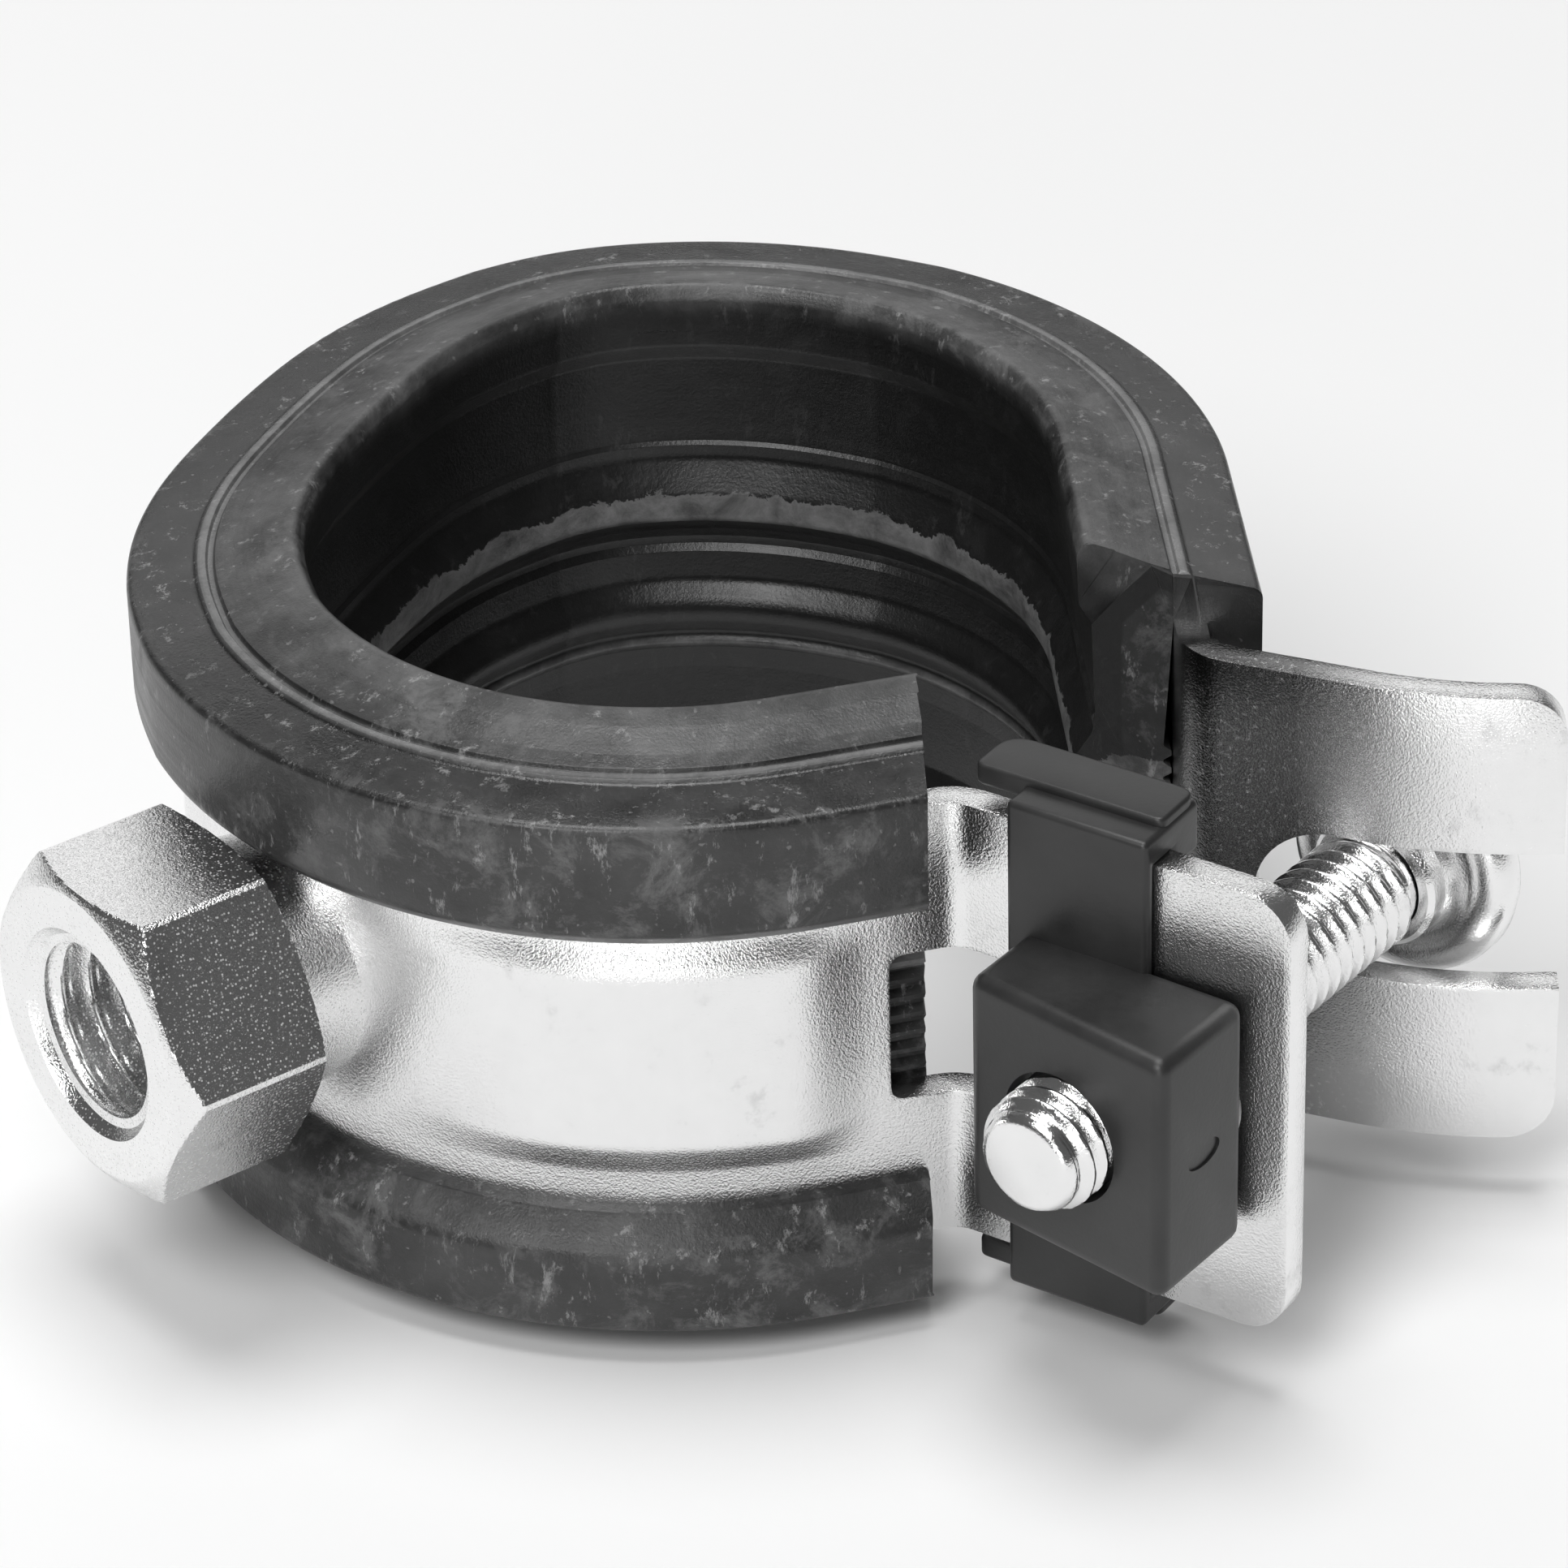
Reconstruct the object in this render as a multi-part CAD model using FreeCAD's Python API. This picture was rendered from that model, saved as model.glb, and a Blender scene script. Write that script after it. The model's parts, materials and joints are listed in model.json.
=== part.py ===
import FreeCAD, Part
import math
import os

# Hinged pipe clamp with a rubber lining, a screw in a plastic holder and a
# weld-on hexagon connection nut. It lies with its pipe axis upright, partly open.
# Millimetres. Origin: centre of the gripped pipe, half way up. +Z: pipe axis.
# The connection nut points along -Y, the hinge is at -X, the closure at +X.

V = FreeCAD.Vector
UP = V(0, 0, 1)

# --- steel strap --------------------------------------------------------------
SHEET = 1.5                      # strap thickness
BAND_HALF = 11.5                 # half width of the strap and of the fixed ear
FORK_HALF = 12.0                 # half width of the fork ear
BAND_R = 23.0                    # outer face of the fixed strap from the origin
BAND_MID = BAND_R - SHEET / 2
FIXED_TAIL_ANGLE = -150.8        # where the fixed arc turns into the hinge tail
FIXED_EAR_ANGLE = -21.0          # where it turns into the closure tail
FIXED_TAIL = 13.2                # straight length from the arc to the hinge
CLOSURE_TAIL = 6.26              # straight length from the arc to the ear bend
BEND_MID = 2.25                  # middle radius of every sharp strap bend
EAR_HEADING = 19.6               # direction of the fixed ear, outwards
EAR_LENGTH = 16.6                # ear length past its bend
CORNER_R = 2.3                   # rounded outer corners of both ears

# --- hinged strap, as it stands partly open ------------------------------------
HINGED_X = -3.9
HINGED_Y = 3.6
HINGED_MID = 23.05               # middle radius of the hinged arc
HINGED_START = 57.0              # closure end of the hinged arc
HINGED_END = 155.0               # hinge end of the hinged arc
HINGE_SIDE_MID = 8.75            # tighter radius just before the hinge
HINGE_SIDE_TURN = 20.0
HINGED_TAIL = 9.6
HINGED_CLOSURE_TAIL = 13.4
FORK_BEND = 64.0                 # turn from the tail into the fork
FORK_FLAT = 6.6
FLARE_R = 20.0
FLARE_TURN = 21.0
FLARE_TIP = 1.8
SLOT_HALF = 3.7                  # half width of the open fork slot
SLOT_DEPTH = 14.3                # from the fork tip line to the slot's round end

# --- hinge ---------------------------------------------------------------------
HINGE = V(-26.1, 0.6, 0)
PIN_R = 1.25
KNUCKLE_BORE = 1.30
KNUCKLE_R = 2.75
KNUCKLE_HALF = 6.5               # the knuckles sit between the rubber lips
MIDDLE_HALF = 2.2                # half height of the hinged strap's knuckle
HINGE_GAP = 0.25
NOTCH_GAP = 1.2                  # how far the wide part of each strap stays off the knuckles
PIN_HEAD = 1.0                   # headed at both ends
PIN_HEAD_R = 2.0

# --- rubber lining, section measured from the middle of the strap -----------------
LIP_EDGE_Z = 7.0                 # the lips leave the strap bare between them
LOWER_LIP_EDGE_Z = 8.0
LINER_OUT = 3.25                 # outer face of the lips
LINER_IN = -5.05                 # pipe side of the lining
LINER_CREST_Z = 15.2
PIPE_R = BAND_MID + LINER_IN     # gripped pipe radius
FIXED_LINER_SHORT = 0.6          # the lining stops this far before the ear bend
HINGED_LINER_SHORT = 1.9         # and this far before the fork bend
FIXED_LINER_SLANT = -14.0        # both ends are cut off at a slant
HINGED_LINER_SLANT = -17.0
LINER_HINGE_GAP = 5.6            # the lining is split round the hinge

# --- connection nut ------------------------------------------------------------
NUT_FLATS = 15.0
NUT_BACK = 25.6                  # distance of its back and front from the origin
NUT_FRONT = 33.5
NUT_CHAMFER = 0.85
NUT_FACE_R = 7.25                # radius of the round face left by the chamfer
COLLAR_INTO_STRAP = 1.5
COLLAR_R = 6.3                   # weld collar between the nut and the strap
M10_TAP_R = 4.25
M8_TAP_R = 3.4
M10_DEPTH = 5.0
HOLE_FLOOR = 0.4                 # metal left under the M8 thread, above the strap
MOUTH_CHAMFER = 0.8

# --- screw, holder and captive nut ------------------------------------------------
SCREW_ALONG = 8.64               # where the screw crosses the ear, past its bend
SCREW_HEADING = -73.6            # direction from the head to the tip
THREAD_R = 2.92
TIP_REACH = 8.7                  # tip beyond the ear's front face
SHANK = 30.5                     # flange underside to tip
NECK_R = 2.5
NECK = 2.4                       # unthreaded neck under the flange
FLANGE_R = 5.9
FLANGE = 2.5
FLANGE_ROUND = 0.9
TIP_CHAMFER = 0.5
RECESS_W = 1.3                   # driver recess in the head
RECESS_DEPTH = 1.3
RECESS_SPAN = 6.4
RING_R = 3.35                    # captive ring on the neck
RING_BORE = 2.56
RING = 1.4
RING_AT = 0.55                   # behind the flange
NUT_BORE = 2.97
SQUARE_NUT = 10.0
SQUARE_NUT_T = 3.2
SQUARE_NUT_BACK = 0.6
BLOCK_LEFT = -5.4                # holder block across the screw
BLOCK_RIGHT = 6.0
BLOCK_HALF = 6.3
BLOCK_DEPTH = 6.0                # block front face, at the screw
BLOCK_WEDGE = 0.12               # how fast the block deepens outwards
BLOCK_HOLE = 3.3
BLOCK_ROUND = 1.1
POCKET_GAP = 0.42                # play round the captive nut
TAB_LEFT = -6.2                  # the tabs that clip over the ear's edges
TAB_RIGHT = 1.1
TAB_HALF = 13.4
TAB_FRONT = 0.9
TAB_BACK = 2.3                   # how far a tab reaches behind the ear
TAB_HOOK = 1.1                   # how far its lip comes down behind the ear
TONGUE = 2.6
TONGUE_T = 1.1
EAR_SLOT_HALF = 3.25
EAR_SLOT_END = 14.2              # slot end, past the ear bend
WINDOW_HALF = 3.9                # window in the strap beside the ear bend
WINDOW_BACK = 2.0                # how far it runs into the closure tail
WINDOW_LENGTH = 5.6

# --- how far cutting tools reach past what they cut --------------------------------
THROUGH = 3.0
WELL_PAST = 12.0

os.makedirs("parts", exist_ok=True)


def direction(heading):
    a = math.radians(heading)
    return V(math.cos(a), math.sin(a), 0)


def section(points, start, heading):
    """Flat section across a path: each point is (distance to the right, height)."""
    right = direction(heading - 90)
    corners = [start + right * u + UP * z for u, z in points]
    return Part.Face(Part.makePolygon(corners + [corners[0]]))


def walk(points, start, heading, steps):
    """Carries a section along steps of ("line", length) or ("arc", radius, turn)."""
    solids = []
    for step in steps:
        face = section(points, start, heading)
        if step[0] == "line":
            move = direction(heading) * step[1]
            solids.append(face.extrude(move))
            start = start + move
        else:
            radius, turn = step[1], step[2]
            side = 90 if turn > 0 else -90
            centre = start + direction(heading + side) * radius
            solids.append(face.revolve(centre, UP, turn))
            start = centre + direction(heading - side + turn) * radius
            heading = heading + turn
    return solids, start, heading


def join(solids):
    whole = solids[0].fuse(solids[1:]) if len(solids) > 1 else solids[0]
    return whole.removeSplitter()


def strap_section(half):
    t = SHEET / 2
    return [(-t, -half), (t, -half), (t, half), (-t, half)]


def box_along(origin, heading, u0, u1, v0, v1, z0, z1):
    """Box with u along the heading, v to its left, between two heights."""
    box = Part.makeBox(u1 - u0, v1 - v0, z1 - z0, V(u0, v0, z0))
    box.rotate(V(0, 0, 0), UP, heading)
    box.translate(origin)
    return box


def cylinder_z(centre, radius, half):
    return Part.makeCylinder(radius, 2 * half, centre - UP * half)


def rod(origin, heading, radius, begin, end):
    """Round bar along a heading, between two distances from the origin."""
    along = direction(heading)
    return Part.makeCylinder(radius, end - begin, origin + along * begin, along)


def upright_edges(shape, near, reach):
    """Edges that run across a strip's thickness, close to a point."""
    found = []
    for edge in shape.Edges:
        ends = [v.Point for v in edge.Vertexes]
        if len(ends) != 2 or abs(ends[0].z - ends[1].z) > 1e-6:
            continue
        middle = (ends[0] + ends[1]) * 0.5
        if abs(edge.Length - SHEET) < 1e-3 and V(middle.x - near.x, middle.y - near.y, 0).Length < reach:
            found.append(edge)
    return found


# --- where the straps run -------------------------------------------------------
def fixed_steps():
    arc = FIXED_EAR_ANGLE - FIXED_TAIL_ANGLE
    tail_heading = FIXED_EAR_ANGLE + 90
    return [("line", FIXED_TAIL), ("arc", BAND_MID, arc), ("line", CLOSURE_TAIL),
            ("arc", BEND_MID, EAR_HEADING - tail_heading), ("line", EAR_LENGTH)]


def fixed_start():
    heading = FIXED_TAIL_ANGLE + 90
    arc_start = direction(FIXED_TAIL_ANGLE) * BAND_MID
    return arc_start - direction(heading) * FIXED_TAIL, heading


def hinged_start():
    """Closure end of the hinged arc, on the middle of the strap."""
    centre = V(HINGED_X, HINGED_Y, 0)
    return centre + direction(HINGED_START) * HINGED_MID, HINGED_START + 90


def hinged_ring_steps():
    return [("arc", HINGED_MID, HINGED_END - HINGED_START),
            ("arc", HINGE_SIDE_MID, HINGE_SIDE_TURN), ("line", HINGED_TAIL)]


def fork_steps():
    """From the hinged arc outwards to the fork's tip."""
    return [("line", HINGED_CLOSURE_TAIL), ("arc", BEND_MID, FORK_BEND),
            ("line", FORK_FLAT), ("arc", FLARE_R + SHEET / 2, FLARE_TURN),
            ("line", FLARE_TIP)]


# --- hinge ------------------------------------------------------------------------
def split_knuckle(strap, own_levels):
    """Ends a strap at the hinge in rolled knuckles at its own levels."""
    ends = strap.cut(cylinder_z(HINGE, KNUCKLE_R + HINGE_GAP, 2 * BAND_HALF))
    solids = [ends]
    for low, high in own_levels:
        roll = Part.makeCylinder(KNUCKLE_R, high - low, V(HINGE.x, HINGE.y, low))
        tongue = strap.common(Part.makeCylinder(KNUCKLE_R + 1, high - low, V(HINGE.x, HINGE.y, low)))
        solids.extend([roll, tongue])
    whole = join(solids)
    return whole.cut(cylinder_z(HINGE, KNUCKLE_BORE, BAND_HALF * 2))


def hinge_notch():
    """Room for the knuckles: above and below them both straps stay back."""
    ring = cylinder_z(HINGE, KNUCKLE_R + NOTCH_GAP, 2 * BAND_HALF)
    return ring.cut(cylinder_z(HINGE, 2 * BAND_HALF, KNUCKLE_HALF))


def hinge_pin():
    pin = cylinder_z(HINGE, PIN_R, KNUCKLE_HALF)
    cap = Part.makeCylinder(PIN_HEAD_R, PIN_HEAD, HINGE + UP * KNUCKLE_HALF)
    foot = Part.makeCylinder(PIN_HEAD_R, PIN_HEAD, HINGE - UP * (KNUCKLE_HALF + PIN_HEAD))
    return join([pin, cap, foot])


# --- fixed half ---------------------------------------------------------------------
def ear_frame():
    """Bend corner of the ear, where its own distances are counted from."""
    start, heading = fixed_start()
    solids, at, head = walk(strap_section(BAND_HALF), start, heading, fixed_steps()[:4])
    return at, head


def ear_slot():
    at, heading = ear_frame()
    straight = box_along(at, heading, -1.0, EAR_SLOT_END - EAR_SLOT_HALF, -THROUGH, THROUGH,
                         -EAR_SLOT_HALF, EAR_SLOT_HALF)
    across = direction(heading + 90)
    end_centre = at + direction(heading) * (EAR_SLOT_END - EAR_SLOT_HALF)
    end = Part.makeCylinder(EAR_SLOT_HALF, 2 * THROUGH, end_centre - across * THROUGH, across)
    bend_back = direction(FIXED_EAR_ANGLE + 90) * -(WINDOW_BACK + BEND_MID)
    window = box_along(at + bend_back, FIXED_EAR_ANGLE + 90, 0, WINDOW_LENGTH, -THROUGH, THROUGH + 1,
                       -WINDOW_HALF, WINDOW_HALF)
    return [straight, end, window]


def fixed_band():
    start, heading = fixed_start()
    solids, tip, head = walk(strap_section(BAND_HALF), start, heading, fixed_steps())
    strap = join(solids)
    strap = strap.makeFillet(CORNER_R, upright_edges(strap, tip, 1.0))
    for opening in ear_slot():
        strap = strap.cut(opening)
    strap = strap.cut(hinge_notch())
    levels = [(MIDDLE_HALF + HINGE_GAP, KNUCKLE_HALF), (-KNUCKLE_HALF, -MIDDLE_HALF - HINGE_GAP)]
    return split_knuckle(strap, levels)


# --- hinged half --------------------------------------------------------------------
def fork_slot():
    start, heading = hinged_start()
    flipped = [(-u, z) for u, z in strap_section(FORK_HALF)]
    solids, at, head = walk(flipped, start, heading + 180, fork_steps())
    chord = head - FLARE_TURN / 2
    straight = box_along(at, chord, -SLOT_DEPTH + SLOT_HALF, 4, -5, 5, -SLOT_HALF, SLOT_HALF)
    across = direction(chord + 90)
    end = Part.makeCylinder(SLOT_HALF, 10, at - direction(chord) * (SLOT_DEPTH - SLOT_HALF)
                            - across * 5, across)
    return [straight, end], at


def hinged_band():
    start, heading = hinged_start()
    ring, hinge_end, h1 = walk(strap_section(BAND_HALF), start, heading, hinged_ring_steps())
    tail, mid, h2 = walk(strap_section(BAND_HALF), start, heading + 180, fork_steps()[:1])
    fork, tip, h3 = walk(strap_section(FORK_HALF), mid, h2, fork_steps()[1:])
    strap = join(ring + tail + fork)
    strap = strap.makeFillet(CORNER_R, upright_edges(strap, tip, 1.0))
    openings, tip = fork_slot()
    for opening in openings:
        strap = strap.cut(opening)
    strap = strap.cut(hinge_notch())
    return split_knuckle(strap, [(-MIDDLE_HALF, MIDDLE_HALF)])


# --- rubber lining ------------------------------------------------------------------
def liner_side(lip_edge):
    """Upper half of the lining's section, from the strap's edge round to the pipe side."""
    t = SHEET / 2
    return [(t, BAND_HALF), (t, lip_edge), (2.1, lip_edge), (LINER_OUT, lip_edge + 1.1),
            (LINER_OUT, 13.3), (2.9, 13.6), (-1.0, 14.2), (-4.2, LINER_CREST_Z),
            (-4.8, LINER_CREST_Z), (LINER_IN, 14.7)]


def liner_section():
    t = SHEET / 2
    lower = [(u, -z) for u, z in reversed(liner_side(LOWER_LIP_EDGE_Z))]
    slot = [(-t, -BAND_HALF), (-t, BAND_HALF)]
    return liner_side(LIP_EDGE_Z) + lower + slot


def cut_end(liner, end, heading):
    """Takes off all that lies beyond an end face looking along the heading."""
    return liner.cut(box_along(end, heading, 0, WELL_PAST, -WELL_PAST, WELL_PAST, -20, 20))


def fixed_liner():
    start, heading = fixed_start()
    ring, mid, h1 = walk(liner_section(), start, heading, fixed_steps()[:2])
    tail = ("line", CLOSURE_TAIL - FIXED_LINER_SHORT)
    spare = ("line", 3.0)
    straight, end, h2 = walk(liner_section(), mid, h1, [tail])
    extra, far, h3 = walk(liner_section(), end, h2, [spare])
    liner = join(ring + straight + extra)
    return cut_end(liner, end, h2 + FIXED_LINER_SLANT).cut(hinge_clearance())


def hinge_clearance():
    """Round gap at the hinge, so the two linings stay apart at every angle."""
    return cylinder_z(HINGE, LINER_HINGE_GAP, 2 * LINER_CREST_Z)


def hinged_liner():
    start, heading = hinged_start()
    ring, end, h1 = walk(liner_section(), start, heading, hinged_ring_steps())
    flipped = [(-u, z) for u, z in reversed(liner_section())]
    length = HINGED_CLOSURE_TAIL - HINGED_LINER_SHORT
    tail, end, h2 = walk(flipped, start, heading + 180, [("line", length)])
    extra, far, h3 = walk(flipped, end, h2, [("line", 3.0)])
    liner = join(ring + tail + extra)
    return cut_end(liner, end, h2 + HINGED_LINER_SLANT).cut(hinge_clearance())


# --- connection nut -------------------------------------------------------------------
def hexagon(flats, begin, end):
    corner = flats / math.sqrt(3)
    ring = [V(corner * math.cos(math.radians(60 * i)), -begin, corner * math.sin(math.radians(60 * i)))
            for i in range(7)]
    return Part.Face(Part.makePolygon(ring)).extrude(V(0, begin - end, 0))


def connection_nut():
    body = hexagon(NUT_FLATS, NUT_BACK, NUT_FRONT)
    corner = NUT_FLATS / math.sqrt(3)
    slope = (corner - NUT_FACE_R) / NUT_CHAMFER
    reach = NUT_FRONT - NUT_BACK
    inward = V(0, 1, 0)
    shell = Part.makeCone(NUT_FACE_R, NUT_FACE_R + slope * reach, reach, V(0, -NUT_FRONT, 0), inward)
    body = body.common(shell)
    collar = Part.makeCylinder(COLLAR_R, NUT_BACK - BAND_R + COLLAR_INTO_STRAP, V(0, -NUT_BACK, 0), inward)
    body = join([body, collar])
    body = body.cut(cylinder_z(V(0, 0, 0), BAND_R, 20))
    wide = Part.makeCylinder(M10_TAP_R, M10_DEPTH, V(0, -NUT_FRONT, 0), inward)
    narrow = Part.makeCylinder(M8_TAP_R, NUT_FRONT - BAND_R - HOLE_FLOOR, V(0, -NUT_FRONT, 0), inward)
    mouth = Part.makeCone(M10_TAP_R + MOUTH_CHAMFER, M10_TAP_R, MOUTH_CHAMFER, V(0, -NUT_FRONT, 0), inward)
    return body.cut(wide).cut(narrow).cut(mouth)


# --- closure screw ----------------------------------------------------------------------
def screw_point():
    """Where the screw crosses the ear's front face."""
    at, heading = ear_frame()
    return at + direction(heading) * SCREW_ALONG + direction(heading - 90) * (SHEET / 2)


SCREW_POINT = screw_point()


def screw_seat():
    """Distance from the ear's front face to the underside of the flange."""
    return TIP_REACH - SHANK


def clamp_screw():
    seat = screw_seat()
    flange = rod(SCREW_POINT, SCREW_HEADING, FLANGE_R, seat - FLANGE, seat)
    rim = [e for e in flange.Edges if len(e.Vertexes) == 1]
    flange = flange.makeFillet(FLANGE_ROUND, rim)
    neck = rod(SCREW_POINT, SCREW_HEADING, NECK_R, seat - 0.5, seat + NECK)
    thread = rod(SCREW_POINT, SCREW_HEADING, THREAD_R, seat + NECK, TIP_REACH)
    tip = [e for e in thread.Edges if len(e.Vertexes) == 1]
    thread = thread.makeChamfer(TIP_CHAMFER, tip)
    screw = join([flange, neck, thread])
    for z_turn in (0, 90):
        slot = Part.makeBox(RECESS_DEPTH, RECESS_W, RECESS_SPAN, V(0, -RECESS_W / 2, -RECESS_SPAN / 2))
        slot.rotate(V(0, 0, 0), V(1, 0, 0), z_turn)
        slot.rotate(V(0, 0, 0), UP, SCREW_HEADING)
        slot.translate(SCREW_POINT + direction(SCREW_HEADING) * (seat - FLANGE))
        screw = screw.cut(slot)
    return screw


def neck_ring():
    begin = screw_seat() + RING_AT
    ring = rod(SCREW_POINT, SCREW_HEADING, RING_R, begin, begin + RING)
    return ring.cut(rod(SCREW_POINT, SCREW_HEADING, RING_BORE, begin - 1, begin + RING + 1))


def across_screw():
    return SCREW_HEADING + 90


def captive_nut():
    half = SQUARE_NUT / 2
    front = -(SQUARE_NUT_BACK + SQUARE_NUT_T)
    plate = box_along(SCREW_POINT, across_screw(), -half, half, front, -SQUARE_NUT_BACK, -half, half)
    return plate.cut(rod(SCREW_POINT, SCREW_HEADING, NUT_BORE, -THROUGH, WELL_PAST))


# --- screw holder -----------------------------------------------------------------------
def holder_block():
    """Wedge-shaped block in front of the ear, seen from above."""
    u = direction(across_screw())
    out = direction(SCREW_HEADING)
    ear = direction(EAR_HEADING)

    def corner(side):
        return SCREW_POINT + u * side + out * (BLOCK_DEPTH + BLOCK_WEDGE * side)

    plan = [SCREW_POINT + ear * BLOCK_LEFT, corner(BLOCK_LEFT), corner(BLOCK_RIGHT),
            SCREW_POINT + ear * BLOCK_RIGHT]
    plan = [p - UP * BLOCK_HALF for p in plan]
    block = Part.Face(Part.makePolygon(plan + [plan[0]])).extrude(UP * 2 * BLOCK_HALF)
    front = [e for e in block.Edges if all(v.Point.sub(SCREW_POINT).dot(out) > 4 for v in e.Vertexes)]
    return block.makeFillet(BLOCK_ROUND, front)


def holder_tab(side):
    """Clip over one edge of the ear, with a lip behind it."""
    z0, z1 = BLOCK_HALF - 1.5, TAB_HALF
    front = box_along(SCREW_POINT, EAR_HEADING, TAB_LEFT, TAB_RIGHT, -TAB_FRONT, 0, z0, z1)
    roof = box_along(SCREW_POINT, EAR_HEADING, TAB_LEFT, TAB_RIGHT, -TAB_FRONT,
                     SHEET + TAB_BACK, BAND_HALF, TAB_HALF)
    lip = box_along(SCREW_POINT, EAR_HEADING, TAB_LEFT, TAB_RIGHT, SHEET,
                    SHEET + TAB_BACK, BAND_HALF - TAB_HOOK, TAB_HALF)
    tongue = box_along(SCREW_POINT, EAR_HEADING, TAB_LEFT - TONGUE, TAB_LEFT + 1, SHEET / 2,
                       SHEET + TAB_BACK, TAB_HALF - TONGUE_T, TAB_HALF)
    clip = join([front, roof, lip, tongue])
    if side < 0:
        clip = clip.mirror(V(0, 0, 0), UP)
    return clip


def screw_holder():
    body = join([holder_block(), holder_tab(1), holder_tab(-1)])
    half = SQUARE_NUT / 2 + POCKET_GAP
    depth = SQUARE_NUT_BACK + SQUARE_NUT_T + POCKET_GAP
    pocket = box_along(SCREW_POINT, across_screw(), -half, half, -depth, THROUGH, -half, half)
    body = body.cut(pocket)
    return body.cut(rod(SCREW_POINT, SCREW_HEADING, BLOCK_HOLE, -THROUGH, WELL_PAST))


PARTS = {
    "fixed_band": fixed_band,
    "hinged_band": hinged_band,
    "hinge_pin": hinge_pin,
    "fixed_liner": fixed_liner,
    "hinged_liner": hinged_liner,
    "connection_nut": connection_nut,
    "screw_holder": screw_holder,
    "captive_nut": captive_nut,
    "clamp_screw": clamp_screw,
    "neck_ring": neck_ring,
}

for name, build in PARTS.items():
    shape = build()
    if len(shape.Solids) != 1 or not shape.isValid():
        raise ValueError(name + " is not one valid solid")
    shape.exportStep("parts/" + name + ".step")
    print(name, round(shape.Volume, 1))
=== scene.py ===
import json
import math

import bmesh
import bpy
import numpy as np
from mathutils import Matrix, Vector


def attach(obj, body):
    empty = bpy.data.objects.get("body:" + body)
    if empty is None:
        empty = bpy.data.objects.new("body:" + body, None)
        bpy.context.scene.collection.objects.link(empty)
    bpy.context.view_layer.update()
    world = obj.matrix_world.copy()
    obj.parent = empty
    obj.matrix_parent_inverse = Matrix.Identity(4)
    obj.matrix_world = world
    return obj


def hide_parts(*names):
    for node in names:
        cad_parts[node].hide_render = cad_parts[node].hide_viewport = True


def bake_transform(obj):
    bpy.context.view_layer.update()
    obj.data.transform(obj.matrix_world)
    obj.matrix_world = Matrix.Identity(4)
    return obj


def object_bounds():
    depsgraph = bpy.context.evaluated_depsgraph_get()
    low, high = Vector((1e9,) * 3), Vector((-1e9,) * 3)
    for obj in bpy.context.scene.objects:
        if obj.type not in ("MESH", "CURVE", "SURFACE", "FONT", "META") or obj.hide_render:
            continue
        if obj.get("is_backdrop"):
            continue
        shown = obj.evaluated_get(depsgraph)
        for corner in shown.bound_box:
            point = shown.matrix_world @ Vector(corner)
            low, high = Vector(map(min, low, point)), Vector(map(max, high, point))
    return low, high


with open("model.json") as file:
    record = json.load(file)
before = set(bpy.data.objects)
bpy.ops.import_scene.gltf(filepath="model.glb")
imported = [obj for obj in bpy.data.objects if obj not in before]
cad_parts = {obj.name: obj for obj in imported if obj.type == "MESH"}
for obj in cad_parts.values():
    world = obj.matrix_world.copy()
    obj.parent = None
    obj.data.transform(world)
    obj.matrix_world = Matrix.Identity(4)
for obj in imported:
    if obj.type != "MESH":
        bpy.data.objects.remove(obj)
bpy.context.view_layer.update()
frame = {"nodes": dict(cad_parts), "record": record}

# Looks of a rubber-lined hinged pipe clamp. Lengths are in millimetres in the
# object's frame (pipe axis +Z, connection nut on -Y, closure on +X) and become
# metres when a mesh is made.

MM = 0.001
JOINTS = {j["name"]: j for j in frame["record"]["behaviour"]["joints"]}
MOUNTS = {m["name"]: m for m in frame["record"]["mounts"]}

CENTRE = np.array(MOUNTS["pipe_grip"]["pos_m"]) / MM
HINGE = np.array(JOINTS["band_hinge"]["pos_m"]) / MM
SCREW_POINT = np.array(JOINTS["screw_turn"]["pos_m"]) / MM
SCREW_AXIS = np.array(JOINTS["screw_turn"]["axis"])
SCREW_HEADING = math.degrees(math.atan2(SCREW_AXIS[1], SCREW_AXIS[0]))
PIPE_R = MOUNTS["pipe_grip"]["dims"]["r_mm"]
NUT_FRONT = -MOUNTS["nut_face"]["pos_m"][1] / MM

# strap
SHEET = 1.5
BAND_HALF = 11.5
FORK_HALF = 12.0
BAND_MID = 22.25
FIXED_TAIL_ANGLE = -150.8
FIXED_EAR_ANGLE = -21.0
FIXED_TAIL = 13.2
CLOSURE_TAIL = 6.26
BEND_MID = 2.25
EAR_HEADING = 19.6
EAR_LENGTH = 16.6
CORNER_R = 2.3
HINGED_CENTRE = (-3.9, 3.6)
HINGED_MID = 23.05
HINGED_START = 57.0
HINGED_END = 155.0
HINGE_SIDE_MID = 8.75
HINGE_SIDE_TURN = 20.0
HINGED_TAIL = 9.6
HINGED_CLOSURE_TAIL = 13.4
FORK_BEND = 64.0
FORK_FLAT = 6.6
FLARE_R = 20.75
FLARE_TURN = 21.0
FLARE_TIP = 1.8
SLOT_HALF = 3.7
SLOT_DEPTH = 14.3
EAR_SLOT_HALF = 3.25
EAR_SLOT_END = 14.2
WINDOW_HALF = 3.9
WINDOW_BACK = 2.0
KNUCKLE_R = 2.75
KNUCKLE_HALF = 6.5
MIDDLE_HALF = 2.2
HINGE_GAP = 0.25
PANEL_TOP = 4.3                  # raised panel stamped along the strap
PANEL_BOTTOM = 4.7
PANEL_UPPER_SLOPE = 2.2          # soft above, crisper below
PANEL_LOWER_SLOPE = 1.6
PANEL_RISE = 0.62
PANEL_ROWS_HALF = 6.4            # the rows lie close together up to here
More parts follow.
